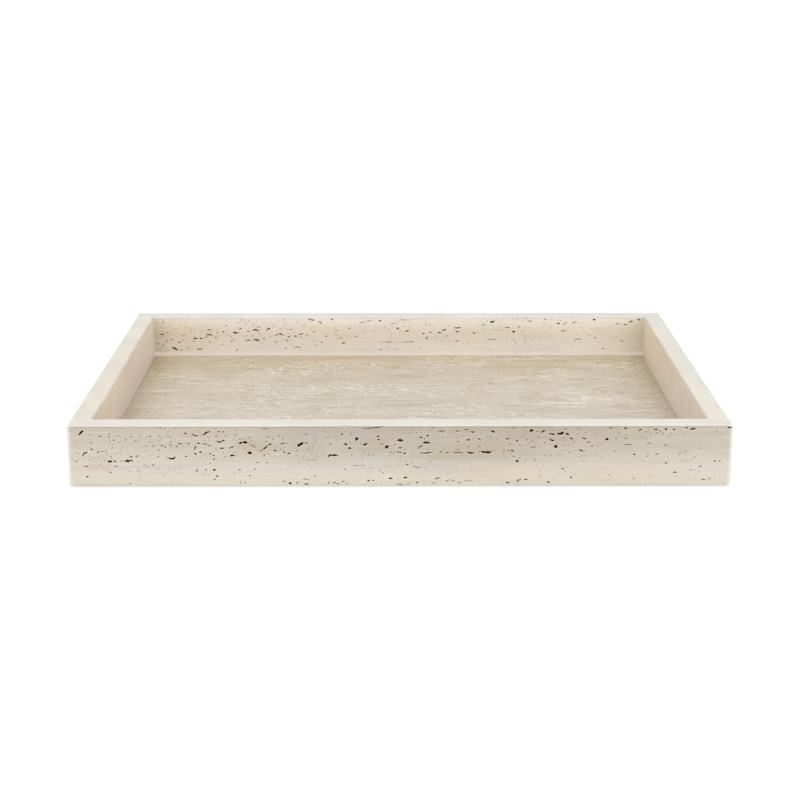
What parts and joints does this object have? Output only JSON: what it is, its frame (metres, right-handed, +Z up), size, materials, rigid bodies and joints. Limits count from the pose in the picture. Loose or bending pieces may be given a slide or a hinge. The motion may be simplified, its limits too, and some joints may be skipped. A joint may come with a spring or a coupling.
{
  "type": "stone tray",
  "caption": "Rectangular travertine tray with straight upright walls, an inset base slab, resin joints and felt pads underneath.",
  "frame": {"origin": "centre of the tray's plan, on the underside of the felt pads", "axes": "+X along the length, to the right as the tray is seen from its front; +Y towards the back wall; +Z up"},
  "size_m": [0.4, 0.254, 0.0395],
  "materials": {
    "travertine": "honed, unfilled, with open pores",
    "travertine_floor": "honed, filled, vein cut",
    "resin": "pale stone adhesive, satin",
    "felt": "pressed felt"
  },
  "bodies": {
    "root": {"base_panel": "travertine_floor", "front_wall": "travertine", "back_wall": "travertine", "left_wall": "travertine", "right_wall": "travertine", "corner_joint_front_left": "resin", "corner_joint_front_right": "resin", "corner_joint_back_left": "resin", "corner_joint_back_right": "resin", "floor_joint_front": "resin", "floor_joint_back": "resin", "floor_joint_left": "resin", "floor_joint_right": "resin", "foot_pad_front_left": "felt", "foot_pad_front_right": "felt", "foot_pad_back_left": "felt", "foot_pad_back_right": "felt"}
  },
  "joints": []
}
